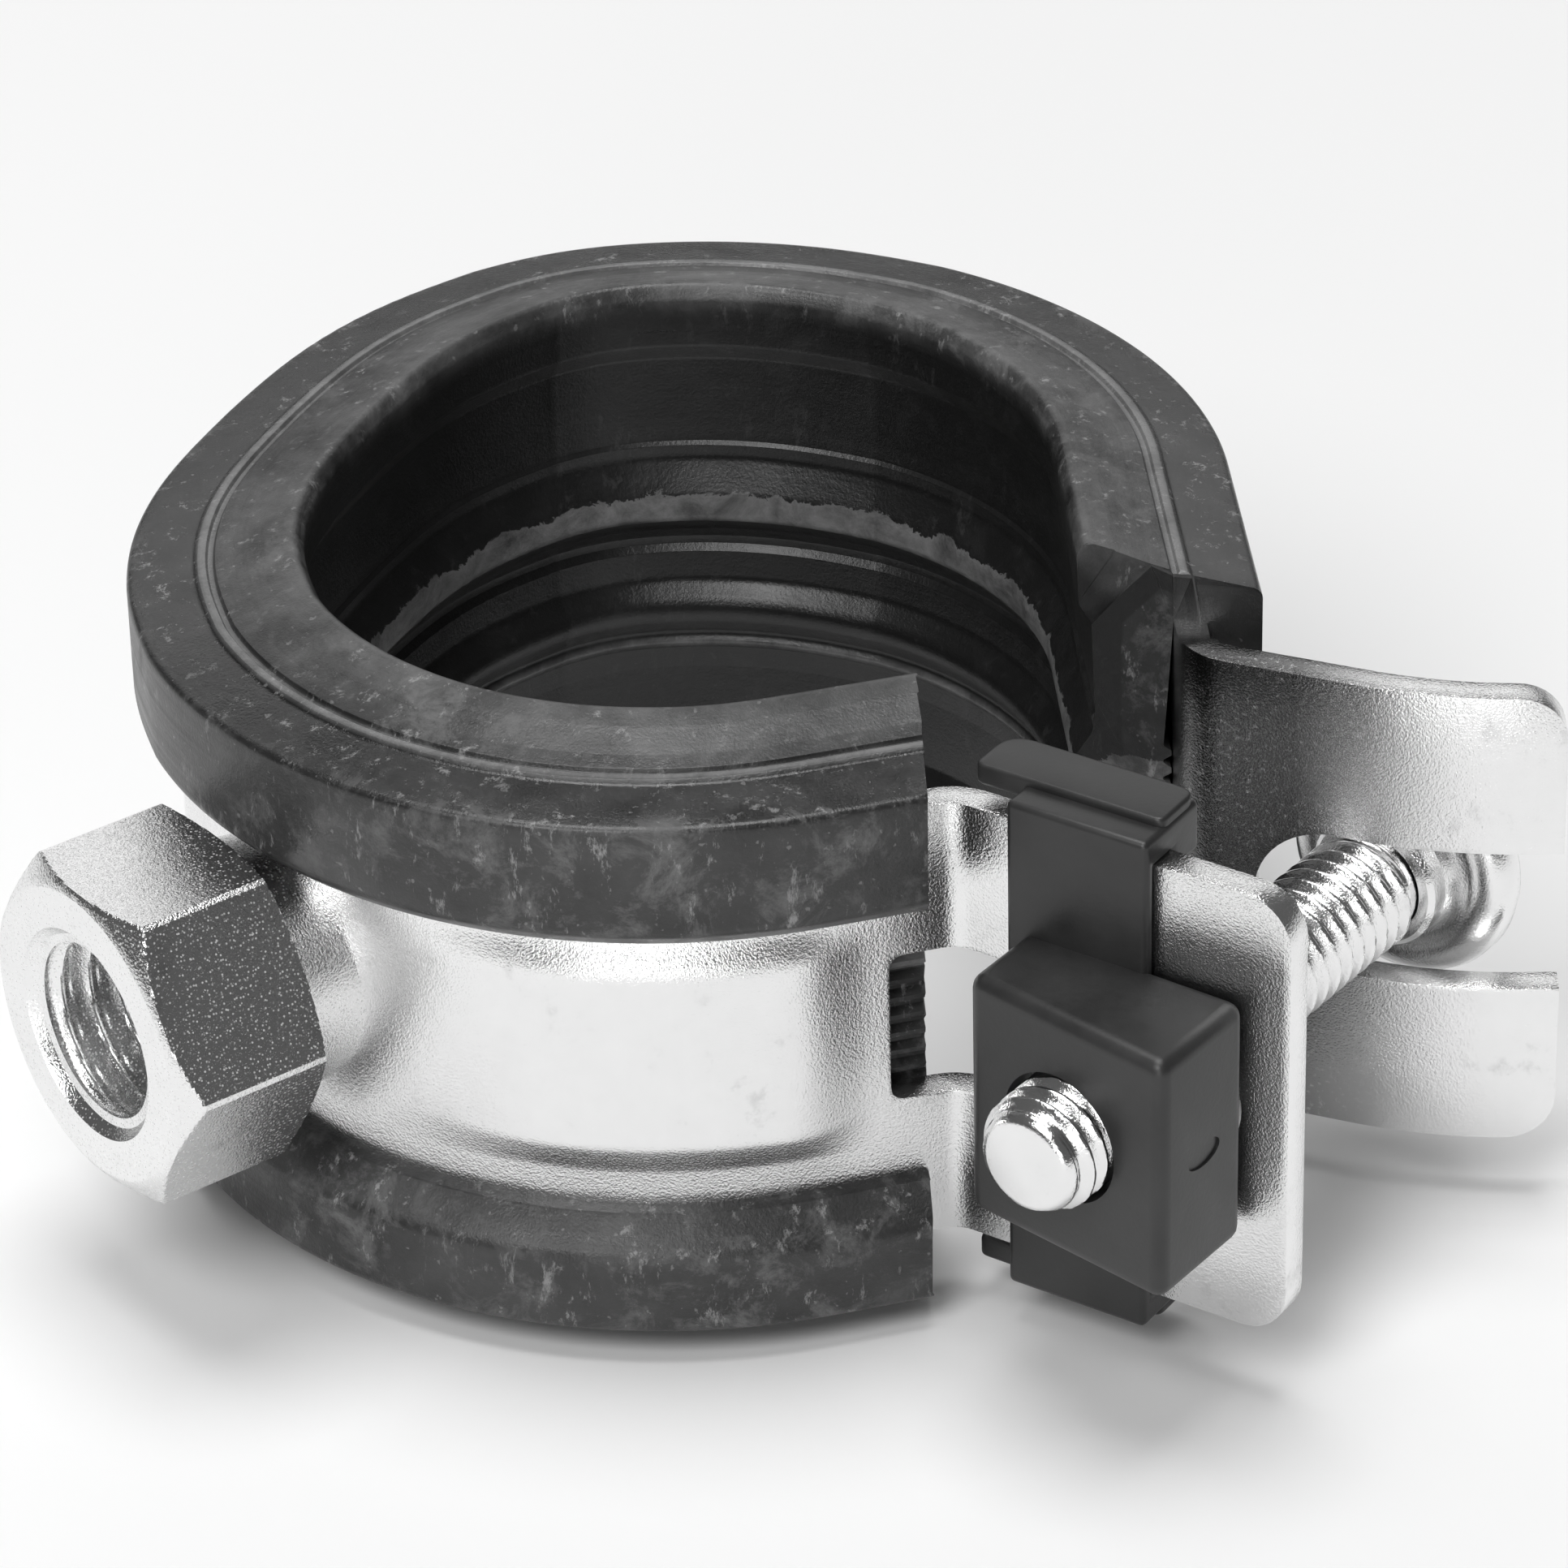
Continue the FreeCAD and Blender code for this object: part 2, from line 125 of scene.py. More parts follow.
PANEL_NUT_CLEAR = 6.0            # flat round the nut, then rising over this much more
PANEL_NUT_FADE = 11.0
PANEL_PAST_ARC = 3.0
PANEL_FROM_HINGE = 9
PANEL_FROM_FORK = 2.0
PANEL_EAR_FADE = 4.0
PANEL_FADE = 3.0
PIN_HOLE_R = 1.3
HINGE_TRIM = 1.2                 # room beyond the knuckles where the strap is cut away
STRAP_EDGE = 0.16
STRAP_STEP = 0.45                # spacing of the strap's rows along its run

# rubber
LIP_EDGE_Z = 7.0
LOWER_LIP_EDGE_Z = 8.0
LINER_OUT = 3.25
LINER_IN = PIPE_R - BAND_MID
FIXED_LINER_SHORT = 0.6
HINGED_LINER_SHORT = 1.9
FIXED_LINER_SLANT = -14.0
HINGED_LINER_SLANT = -17.0
HINGED_SLANT_REACH = 7.0         # how far in from each end the slant is felt
FIXED_SLANT_REACH = 5.0
CUT_ROUGHNESS = 0.07
TOOTH_PITCH = 0.95               # serrations against the strap
TOOTH_DEPTH = 0.42
TEETH = 10

# connection nut
NUT_FLATS = 15.0
NUT_BACK = 25.6
COLLAR_R = 6.3
COLLAR_FROM = 21.5
NUT_FACE_INSET = 0.25
NUT_BACK_CHAMFER = 0.45
NUT_FRONT_CHAMFER = 0.9
M10 = (5.0, 4.2, 1.5)            # crest radius of the hole's groove, tap radius, pitch
M8 = (4.0, 3.35, 1.25)
M10_DEPTH = 5.0
M8_FROM = 22.6

# screw
THREAD_R = 2.92
THREAD_ROOT = 2.42
THREAD_PITCH = 1.0
TIP_REACH = 8.7
SHANK = 30.5
NECK_R = 2.5
NECK = 2.4
FLANGE_R = 5.9
FLANGE = 2.5
RECESS_W = 1.3
RECESS_DEPTH = 1.3
RING_R = 3.35
RING = 1.4
RING_CHAMFER = 0.25
RING_BORE = 2.6
RING_FROM_SEAT = 0.55
RECESS_HALF = 3.4

# holder
BLOCK_LEFT = -5.4
BLOCK_RIGHT = 6.0
BLOCK_HALF = 6.3
BLOCK_DEPTH = 6.0
BLOCK_WEDGE = 0.12
TAB_LEFT = -6.2
TAB_RIGHT = 1.1
TAB_HALF = 13.4
TAB_FRONT = 0.9
TAB_BACK = 2.3
TAB_HOOK = 1.1
TONGUE = 2.6
TONGUE_T = 1.1
ROOF_STEP = 0.4
ROOF_BACK_FROM = 0.7
SEAM = 0.42
CLIP_GAP = 0.16
HOLDER_HOLE = 3.22
HOLDER_FIT = 0.03                # gap between the clip and the ear
BLOCK_LEFT_GAP = 0.05            # the block's front gap grows from this to the seam
BLOCK_EDGE = 0.75
CLIP_EDGE = 0.32
SLAB_EDGE = 0.2
PIT_HALF_LENGTH = 1.25
PIT_HALF_WIDTH = 0.62


# ---------------------------------------------------------------- small tools
def heading_vector(heading):
    a = math.radians(heading)
    return np.array([math.cos(a), math.sin(a)])


def smooth_step(x):
    x = np.clip(x, 0.0, 1.0)
    return x * x * (3 - 2 * x)


def path(start, heading, steps, spacing=0.5):
    """Stations (x, y, heading) along lines and arcs, about evenly spaced."""
    at = np.array(start, float)
    stations = [(at[0], at[1], heading)]
    for step in steps:
        if step[0] == "line":
            count = max(1, math.ceil(step[1] / spacing))
            for i in range(count):
                at = at + heading_vector(heading) * step[1] / count
                stations.append((at[0], at[1], heading))
        else:
            radius, turn = step[1], step[2]
            side = 90 if turn > 0 else -90
            centre = at + heading_vector(heading + side) * radius
            count = max(3, math.ceil(abs(math.radians(turn)) * radius / spacing))
            for i in range(1, count + 1):
                h = heading + turn * i / count
                at = centre + heading_vector(h - side) * radius
                stations.append((at[0], at[1], h))
            heading = heading + turn
    return np.array(stations)


def run_length(stations):
    steps = np.hypot(np.diff(stations[:, 0]), np.diff(stations[:, 1]))
    return np.concatenate([[0], np.cumsum(steps)])


def rounded(points, count=5):
    """Closed outline with each corner (x, y, radius) rounded off."""
    out = []
    n = len(points)
    for i, (x, y, r) in enumerate(points):
        here = np.array([x, y], float)
        if r <= 0:
            out.append(here)
            continue
        a = np.array(points[i - 1][:2], float) - here
        b = np.array(points[(i + 1) % n][:2], float) - here
        la, lb = np.linalg.norm(a), np.linalg.norm(b)
        a, b = a / la, b / lb
        half = math.acos(np.clip(a @ b, -1, 1)) / 2
        reach = min(r / math.tan(half), la * 0.49, lb * 0.49)
        for k in range(count + 1):
            t = k / count
            p = here + a * reach * (1 - t) ** 2 + b * reach * t ** 2
            out.append(p)
    return np.array(out)


def mesh_object(name, verts, faces, material, uvs=None):
    mesh = bpy.data.meshes.new(name)
    mesh.from_pydata([tuple(v) for v in np.asarray(verts) * MM], [], faces)
    if uvs is not None:
        layer = mesh.uv_layers.new(name="UVMap")
        for loop in mesh.loops:
            layer.data[loop.index].uv = uvs[loop.vertex_index]
    mesh.materials.append(material)
    obj = bpy.data.objects.new(name, mesh)
    bpy.context.scene.collection.objects.link(obj)
    tidy_normals(obj)
    return obj


def tidy_normals(obj, sharp=34):
    work = bmesh.new()
    work.from_mesh(obj.data)
    bmesh.ops.recalc_face_normals(work, faces=work.faces)
    work.to_mesh(obj.data)
    work.free()
    obj.data.shade_smooth()
    obj.data.set_sharp_from_angle(angle=math.radians(sharp))


def sweep(name, stations, section, material):
    """Solid made by carrying a section (distance to the right, height) along a path.

    section is an outline, or a function of the run length that gives one."""
    run = run_length(stations)
    rings, uvs = [], []
    for (x, y, heading), s in zip(stations, run):
        outline = section(s) if callable(section) else section
        right = heading_vector(heading - 90)
        around = np.concatenate([[0], np.cumsum(np.linalg.norm(np.diff(outline, axis=0), axis=1))])
        for (u, z), v in zip(outline, around):
            rings.append((x + right[0] * u, y + right[1] * u, z))
            uvs.append((s * MM * 20, v * MM * 20))
    m = len(outline)
    faces = []
    for i in range(len(stations) - 1):
        for j in range(m):
            k = (j + 1) % m
            faces.append((i * m + j, i * m + k, (i + 1) * m + k, (i + 1) * m + j))
    faces.append(tuple(range(m)))
    faces.append(tuple((len(stations) - 1) * m + j for j in reversed(range(m))))
    return mesh_object(name, rings, faces, material, uvs)


def prism(name, outline, place, low, high, material):
    """Straight-sided solid: an outline of (a, b) carried from low to high by place(a, b, c)."""
    verts = [place(a, b, low) for a, b in outline] + [place(a, b, high) for a, b in outline]
    n = len(outline)
    faces = [(i, (i + 1) % n, n + (i + 1) % n, n + i) for i in range(n)]
    faces += [tuple(reversed(range(n))), tuple(range(n, 2 * n))]
    return mesh_object(name, verts, faces, material)


def along_heading(origin, heading):
    """place() for a box with a along the heading, b up and c to the heading's left."""
    f = heading_vector(heading)
    left = heading_vector(heading + 90)

    def place(a, b, c):
        return (origin[0] + f[0] * a + left[0] * c, origin[1] + f[1] * a + left[1] * c, b)
    return place


def rectangle(a0, a1, b0, b1, radius=0.0):
    corners = [(a0, b0, radius), (a1, b0, radius), (a1, b1, radius), (a0, b1, radius)]
    return rounded(corners, 8)


def oval(half_a, half_b, count):
    turns = np.linspace(0, 2 * math.pi, count, endpoint=False)
    return [(half_a * math.cos(t), half_b * math.sin(t)) for t in turns]


def boolean(obj, tool, operation):
    mod = obj.modifiers.new("cut", "BOOLEAN")
    mod.operation = operation
    mod.object = tool
    mod.solver = "EXACT"
    settle(obj)
    bpy.data.objects.remove(tool)


def settle(obj):
    """Makes the object's modifiers part of its mesh."""
    bpy.context.view_layer.update()
    evaluated = obj.evaluated_get(bpy.context.evaluated_depsgraph_get())
    mesh = bpy.data.meshes.new_from_object(evaluated)
    obj.modifiers.clear()
    obj.data = mesh


def soften(obj, width, segments=3, angle=40):
    mod = obj.modifiers.new("edges", "BEVEL")
    mod.width = width * MM
    mod.segments = segments
    mod.limit_method = "ANGLE"
    mod.angle_limit = math.radians(angle)
    mod.harden_normals = False
    settle(obj)
    tidy_normals(obj)


# ------------------------------------------------------------------ materials
def new_material(name):
    material = bpy.data.materials.new(name)
    material.use_nodes = True
    tree = material.node_tree
    return material, tree, tree.nodes["Principled BSDF"]


def node(tree, kind, inputs=(), **settings):
    made = tree.nodes.new(kind)
    for key, value in settings.items():
        setattr(made, key, value)
    for key, value in dict(inputs).items():
        if isinstance(value, bpy.types.NodeSocket):
            tree.links.new(value, made.inputs[key])
        else:
            made.inputs[key].default_value = value
    return made


def noise(tree, where, scale, detail=4.0, roughness=0.6, distortion=0.0):
    made = node(tree, "ShaderNodeTexNoise",
                {"Vector": where, "Scale": scale, "Detail": detail, "Roughness": roughness,
                 "Distortion": distortion})
    return made.outputs["Fac"]


def ramp(tree, value, stops):
    """Grey ramp: stops are (position, level)."""
    made = node(tree, "ShaderNodeValToRGB", {"Fac": value})
    elements = made.color_ramp.elements
    while len(elements) < len(stops):
        elements.new(0.5)
    for element, (position, level) in zip(elements, stops):
        element.position = position
        element.color = (level, level, level, 1)
    return made.outputs["Color"]


def stretch(tree, value, begin, full, full_end, end, inside=1.0, outside=0.0):
    """One level inside a stretch of a value's range and another level outside it."""
    return ramp(tree, value, [(begin, outside), (full, inside), (full_end, inside), (end, outside)])


def product(tree, a, b):
    return math_node(tree, "MULTIPLY", a, b)


def math_node(tree, operation, a, b):
    made = node(tree, "ShaderNodeMath", operation=operation)
    for socket, value in zip(made.inputs, (a, b)):
        if isinstance(value, bpy.types.NodeSocket):
            tree.links.new(value, socket)
        else:
            socket.default_value = value
    return made.outputs[0]


def mix_grey(tree, fac, a, b):
    made = node(tree, "ShaderNodeMix", data_type="RGBA")
    for socket, value in ((made.inputs["Factor"], fac), (made.inputs["A"], a), (made.inputs["B"], b)):
        if isinstance(value, bpy.types.NodeSocket):
            tree.links.new(value, socket)
        elif socket.type == "RGBA":
            socket.default_value = (value, value, value, 1)
        else:
            socket.default_value = value
    return made.outputs["Result"]


def bumps(tree, layers):
    """Stacks bump layers of (height, strength, distance in mm)."""
    normal = None
    for height, strength, distance in layers:
        inputs = {"Height": height, "Strength": strength, "Distance": distance * MM}
        if normal is not None:
            inputs["Normal"] = normal
        normal = node(tree, "ShaderNodeBump", inputs).outputs["Normal"]
    return normal


def scaled(tree, where, scale):
    return node(tree, "ShaderNodeMapping", {"Vector": where, "Scale": scale}).outputs["Vector"]


def zinc(name, base=0.84, rough=0.15, grain=0.35, specks=0.0, streaks=0.0, painted_shade=False):
    """Bright zinc plate over rolled or turned steel."""
    material, tree, shader = new_material(name)
    coords = node(tree, "ShaderNodeTexCoord")
    where, uv = coords.outputs["Object"], coords.outputs["UV"]
    fine = noise(tree, where, 8200, 2.0, 0.6)
    patch = noise(tree, where, 130, 4.0, 0.6)
    stain = noise(tree, where, 420, 6.0, 0.7)
    shader.inputs["Metallic"].default_value = 1.0
    tone = ramp(tree, stain, [(0.28, base * 0.82), (0.40, base), (0.75, base * 1.04)])
    # painted shade: the fork's inner part is darkened, with specks left bright
    if painted_shade:
        tone = painted_fork_shade(tree, uv, noise(tree, where, 3600, 4.0, 0.7), tone)
    tree.links.new(tone, shader.inputs["Base Color"])
    rough_noise = ramp(tree, patch, [(0.25, rough * 0.7), (0.75, rough * 1.5)])
    layers = [(fine, grain, 0.08), (patch, 0.08, 0.4)]
    if specks:
        crystals = product(tree, grains(tree, where, 6500), specks)
        rough_noise = mix_grey(tree, crystals, rough_noise, 0.75)
    if streaks:
        lines = noise(tree, scaled(tree, uv, (3.0, 90.0, 1.0)), 8.0, 5.0, 0.7)
        layers.append((lines, streaks, 0.05))
    tree.links.new(rough_noise, shader.inputs["Roughness"])
    tree.links.new(bumps(tree, layers), shader.inputs["Normal"])
    return material


def grains(tree, where, scale):
    """Small round dots, one in some of the cells of a random net."""
    cells = node(tree, "ShaderNodeTexVoronoi", {"Vector": where, "Scale": scale})
    dots = ramp(tree, cells.outputs["Distance"], [(0.22, 1.0), (0.42, 0.0)])
    chosen = node(tree, "ShaderNodeSeparateXYZ", {"Vector": cells.outputs["Color"]}).outputs["X"]
    return product(tree, dots, ramp(tree, chosen, [(0.35, 0.0), (0.70, 1.0)]))


def painted_fork_shade(tree, uv, specks, tone):
    """Painted shade and dark reflection on the inner part of the fork, speckled, fading out towards its
    tip.
    """
    along = node(tree, "ShaderNodeSeparateXYZ", {"Vector": uv}).outputs["X"]
    painted_dark = ramp(tree, along, [(0.15, 0.0), (0.25, 0.85), (0.34, 0.92), (0.40, 0.25), (0.44, 0.0)])
    kept = ramp(tree, specks, [(0.56, 1.0), (0.70, 0.55)])
    return mix_grey(tree, product(tree, painted_dark, kept), tone, 0.10)


def rubber(name):
    """Extruded black rubber with chalky smears, scuffs, specks and chalk-smeared ribs, and painted
    sheen, shade and a ridge highlight across its section.
    """
    material, tree, shader = new_material(name)
    coords = node(tree, "ShaderNodeTexCoord")
    where, uv = coords.outputs["Object"], coords.outputs["UV"]
    run = node(tree, "ShaderNodeSeparateXYZ", {"Vector": uv}).outputs["Y"]
    around = product(tree, run, 0.5)                       # run round the section in units of 100 mm
    smear = noise(tree, where, 360, 9.0, 0.76, 0.4)
    drawn = noise(tree, scaled(tree, uv, (0.4, 16.0, 1.0)), 9.0, 4.0, 0.6)
    exposed = stretch(tree, around, 0.215, 0.23, 0.53, 0.56, 0.1, 1.0)
    where_dusty = product(tree, dusty_places(tree, where, around), exposed)
    dust = product(tree, ramp(tree, smear, [(0.50, 0.0), (0.66, 1.0)]), where_dusty)
    # painted shade: only a quarter of the chalk on the outer slope, which keeps the slope dark
    dust = product(tree, dust, stretch(tree, around, 0.130, 0.138, 0.165, 0.175, 0.25, 1.0))
    tone = bare_rubber(tree, where, around, smear)
    tone = mix_grey(tree, product(tree, dust, 0.65), tone, 0.19)
    tone = scuffs_and_specks(tree, where, where_dusty, exposed, tone)
    tree.links.new(tone, shader.inputs["Base Color"])
    tree.links.new(rubber_roughness(tree, around, drawn, dust), shader.inputs["Roughness"])
    shader.inputs["Specular IOR Level"].default_value = 0.62
    grain = noise(tree, where, 6500, 2.0, 0.6)
    layers = [(grain, 0.35, 0.05), (smear, 0.40, 0.12), (drawn, 0.10, 0.08)]
    tree.links.new(bumps(tree, layers), shader.inputs["Normal"])
    return material


def dusty_places(tree, where, around):
    """Clouds of chalk, with more of them on the lower lip."""
    cloud = noise(tree, where, 70, 4.0, 0.60)
    lower_lip = product(tree, ramp(tree, around, [(0.54, 0.0), (0.57, 1.0)]), 0.10)
    return ramp(tree, math_node(tree, "ADD", cloud, lower_lip), [(0.38, 0.0), (0.58, 1.0)])


def bare_rubber(tree, where, around, smear):
    """Painted shade on the outer slope and a painted sheen on the crest, darker on the pipe side, a
    painted highlight along the top ridge, and the chalky ribs.
    """
    height = node(tree, "ShaderNodeSeparateXYZ", {"Vector": where}).outputs["Z"]
    mottle = ramp(tree, noise(tree, where, 190, 6.0, 0.70), [(0.35, 0.0), (0.65, 1.0)])
    # painted shade on the outer slope and a painted sheen on the crest; darker on the pipe side
    painted_sheen_and_shade = ramp(tree, around, [(0.12, 0.036), (0.135, 0.012), (0.165, 0.012), (0.185, 0.085),
                               (0.22, 0.085), (0.228, 0.010), (0.53, 0.010), (0.56, 0.036)])
    tone = mix_grey(tree, mottle, 0.010, painted_sheen_and_shade)
    tone = mix_grey(tree, rib_chalk(tree, height, smear), tone, 0.30)
    # painted highlight along the top ridge, broken up by the smear noise
    ridge = stretch(tree, around, 0.1628, 0.1642, 0.1678, 0.1695)
    painted_ridge_highlight = product(tree, ridge, ramp(tree, smear, [(0.3, 0.3), (0.6, 1.0)]))
    return mix_grey(tree, painted_ridge_highlight, tone, 0.20)


def scuffs_and_specks(tree, where, where_dusty, exposed, tone):
    scuff = noise(tree, scaled(tree, where, (1.0, 0.8, 0.3)), 1100, 6.0, 0.78, 0.2)
    scrapes = product(tree, ramp(tree, scuff, [(0.58, 0.0), (0.66, 1.0)]), where_dusty)
    tone = mix_grey(tree, product(tree, scrapes, 0.70), tone, 0.34)
    speck = noise(tree, where, 2400, 2.0, 0.5)
    dots = product(tree, ramp(tree, speck, [(0.69, 0.0), (0.74, 1.0)]), exposed)
    return mix_grey(tree, product(tree, dots, 0.30), tone, 0.35)


def rubber_roughness(tree, around, drawn, dust):
    """Drawn lines, a slick outer slope, matt chalk and a worn pipe side."""
    rough = ramp(tree, drawn, [(0.3, 0.27), (0.7, 0.42)])
    rough = mix_grey(tree, stretch(tree, around, 0.125, 0.135, 0.16, 0.18), rough, 0.20)
    rough = mix_grey(tree, dust, rough, 0.70)
    return mix_grey(tree, stretch(tree, around, 0.24, 0.26, 0.50, 0.52, 0.6), rough, 0.30)


def rib_chalk(tree, height, smear):
    """Chalk smeared along two ribs of the pipe side, with a ragged top edge on the upper one."""
    ragged = math_node(tree, "MULTIPLY_ADD", smear, 2.6 * MM)
    tree.links.new(height, ragged.node.inputs[2])
    above = math_node(tree, "GREATER_THAN", height, 1.9 * MM)
    below = math_node(tree, "LESS_THAN", ragged, 4.9 * MM)
    depth = product(tree, height, -1 / (10 * MM))
    lower_rib = ramp(tree, depth, [(0.50, 0.0), (0.53, 0.8), (0.56, 0.5), (0.58, 0.0)])
    ribs = math_node(tree, "ADD", product(tree, above, below), lower_rib)
    return product(tree, ribs, ramp(tree, smear, [(0.35, 0.15), (0.65, 0.85)]))


def moulded_plastic(name):
    material, tree, shader = new_material(name)
    where = node(tree, "ShaderNodeTexCoord").outputs["Object"]
    fine = noise(tree, where, 4200, 3.0, 0.6)
    wide = noise(tree, where, 260, 4.0, 0.6)
    tree.links.new(ramp(tree, wide, [(0.3, 0.018), (0.7, 0.032)]), shader.inputs["Base Color"])
    tree.links.new(ramp(tree, wide, [(0.3, 0.33), (0.7, 0.45)]), shader.inputs["Roughness"])
    tree.links.new(bumps(tree, [(fine, 0.16, 0.05), (wide, 0.10, 0.2)]), shader.inputs["Normal"])
    return material


ZINC_STRAP = zinc("zinc_strap", grain=0.45, streaks=0.05)
# the fork's zinc carries painted shade on its inner part
ZINC_FORK = zinc("zinc_fork", grain=0.45, streaks=0.05, painted_shade=True)
ZINC_TURNED = zinc("zinc_turned", rough=0.13, grain=0.25)
ZINC_NUT = zinc("zinc_nut", rough=0.12, grain=0.40, specks=0.9)
RUBBER = rubber("rubber")
PLASTIC = moulded_plastic("holder_plastic")


# ---------------------------------------------------------- where things run
def fixed_steps():
    arc = FIXED_EAR_ANGLE - FIXED_TAIL_ANGLE
    return [("line", FIXED_TAIL), ("arc", BAND_MID, arc), ("line", CLOSURE_TAIL),
            ("arc", BEND_MID, EAR_HEADING - FIXED_EAR_ANGLE - 90), ("line", EAR_LENGTH)]


def fixed_start():
    heading = FIXED_TAIL_ANGLE + 90
    at = CENTRE[:2] + heading_vector(FIXED_TAIL_ANGLE) * BAND_MID
    return at - heading_vector(heading) * FIXED_TAIL, heading


def hinged_start():
    at = CENTRE[:2] + np.array(HINGED_CENTRE) + heading_vector(HINGED_START) * HINGED_MID
    return at, HINGED_START + 90


def hinged_ring_steps():
    return [("arc", HINGED_MID, HINGED_END - HINGED_START),
            ("arc", HINGE_SIDE_MID, HINGE_SIDE_TURN), ("line", HINGED_TAIL)]


def fork_steps():
    return [("line", HINGED_CLOSURE_TAIL), ("arc", BEND_MID, FORK_BEND), ("line", FORK_FLAT),
            ("arc", FLARE_R, FLARE_TURN), ("line", FLARE_TIP)]


def backwards(stations):
    flipped = stations[::-1].copy()
    flipped[:, 2] += 180
    return flipped


# --------------------------------------------------------------------- rubber
def lining_path():
    """One run from the hinged closure end, round the hinge, to the fixed end."""
    at, heading = hinged_start()
    tail = ("line", HINGED_CLOSURE_TAIL - HINGED_LINER_SHORT)
    far = backwards(path(at, heading + 180, [tail]))
    ring = path(at, heading, hinged_ring_steps())
    steps = fixed_steps()[:2] + [("line", CLOSURE_TAIL - FIXED_LINER_SHORT)]
    start, fixed_heading = fixed_start()
    fixed = path(start, fixed_heading, steps)
    hinged = np.vstack([far[:-1], ring[:-2]])
    line = np.vstack([hinged, fixed[2:]])
    return ease_hinge(line, len(hinged))


def ease_hinge(line, joint):
    """Rounds the kink where the two halves of the run meet."""
    points = line[:, :2].copy()
    away = np.abs(np.arange(len(points)) - joint)[1:-1]
    for near, rounds in ((away < 60, 24), (away < 16, 50)):
        for _ in range(rounds):
            middle = (points[:-2] + points[2:]) / 2
            points[1:-1][near] = middle[near]
    ahead = np.gradient(points, axis=0)
    headings = np.degrees(np.unwrap(np.arctan2(ahead[:, 1], ahead[:, 0])))
    return np.column_stack([points, headings])


def lining_section():
    """Outline of the lining: lips, top ridge, crest, and the ribs on the pipe side.

    Corners are (distance outwards from the strap's middle, height, rounding). The run round the
    outline is what the rubber's material uses to find the same features again."""
    t = SHEET / 2
    top = [(t, 11.5, 0), (t, LIP_EDGE_Z, 0), (2.2, LIP_EDGE_Z, 0.35), (LINER_OUT, 8.0, 0.9),
           (LINER_OUT, 13.55, 0.45), (0.1, 13.98, 0.4), (-0.12, 14.17, 0.06), (-0.50, 14.22, 0.08),
           (-0.60, 14.02, 0.04), (-0.84, 14.02, 0.04), (-0.94, 14.24, 0.06), (-1.8, 14.42, 0.5),
           (-3.4, 14.95, 0.9), (-4.75, 15.30, 0.5), (-5.15, 14.5, 0.6), (-5.05, 11.9, 0.6),
           (-4.45, 10.9, 0.5), (-4.35, 7.0, 1.0), (-4.30, 6.15, 0.05), (-4.48, 5.95, 0.05)]
    ribs = [(-4.35, 5.2, 0.8), (LINER_IN - 0.30, 3.4, 1.3), (LINER_IN - 0.20, 2.2, 1.0),
            (-4.35, 1.1, 0.5), (-3.95, 0.45, 0.25), (-3.95, 0.05, 0.05), (-4.25, -0.3, 0.08),
            (-4.25, -1.9, 0.7),
            (LINER_IN - 0.40, -3.3, 1.5), (-4.40, -4.9, 0.4), (-4.70, -5.35, 0.2),
            (-4.40, -5.8, 0.15), (-4.3, -7.0, 0.6), (-4.45, -10.7, 0.5)]
    lower_lip = [(t, 11.5, 0), (t, LOWER_LIP_EDGE_Z, 0), (1.5, LOWER_LIP_EDGE_Z + 0.05, 0.3),
                 (LINER_OUT, LOWER_LIP_EDGE_Z + 1.5, 1.3)]
    bottom = [(u, -z, r) for u, z, r in reversed(lower_lip + top[4:16])]
    outline = [tuple(p) for p in rounded(top + ribs + bottom, 4)]
    return np.array(outline + serrations(t))


def serrations(t):
    """Fine ribs on the face that lies against the strap, seen through the window."""
    teeth = [(-t, -BAND_HALF)]
    for i in range(TEETH):
        z = (i - TEETH / 2 + 0.5) * TOOTH_PITCH
        teeth += [(-t - TOOTH_DEPTH, z - 0.40 * TOOTH_PITCH), (-t - 0.05, z - 0.12 * TOOTH_PITCH),
                  (-t - 0.05, z + 0.12 * TOOTH_PITCH), (-t - TOOTH_DEPTH, z + 0.40 * TOOTH_PITCH)]
    teeth.append((-t, BAND_HALF))
    return teeth


def slanted(obj, line, section):
    """Leans the two end faces over, and roughens them like a knife cut."""
    count = len(section)
    length = run_length(line)
    rng = np.random.default_rng(7)
    co = np.array([v.co for v in obj.data.vertices]) / MM
    for i, (x, y, heading) in enumerate(line):
        start_pull = 1 - smooth_step(length[i] / HINGED_SLANT_REACH)
        end_pull = 1 - smooth_step((length[-1] - length[i]) / FIXED_SLANT_REACH)
        lean = (start_pull * math.tan(math.radians(HINGED_LINER_SLANT))
                - end_pull * math.tan(math.radians(FIXED_LINER_SLANT)))
        forward = heading_vector(heading)
        for j in range(count):
            pull = -section[j][0] * lean if end_pull > 0 else section[j][0] * lean
            if i in (0, len(line) - 1):
                pull += rng.uniform(-CUT_ROUGHNESS, CUT_ROUGHNESS)
            co[i * count + j, :2] += forward * pull
    obj.data.vertices.foreach_set("co", (co * MM).ravel())
    obj.data.update()


def rubber_lining():
    line = lining_path()
    section = lining_section()
    lining = sweep("rubber_lining", line, section, RUBBER)
    slanted(lining, line, section)
    work = bmesh.new()
    work.from_mesh(lining.data)
    ends = [f for f in work.faces if len(f.verts) > 4]
    bmesh.ops.triangulate(work, faces=ends, ngon_method="BEAUTY")
    work.to_mesh(lining.data)
    work.free()
    tidy_normals(lining)
    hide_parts("fixed_liner", "hinged_liner")
    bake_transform(lining)
    return lining


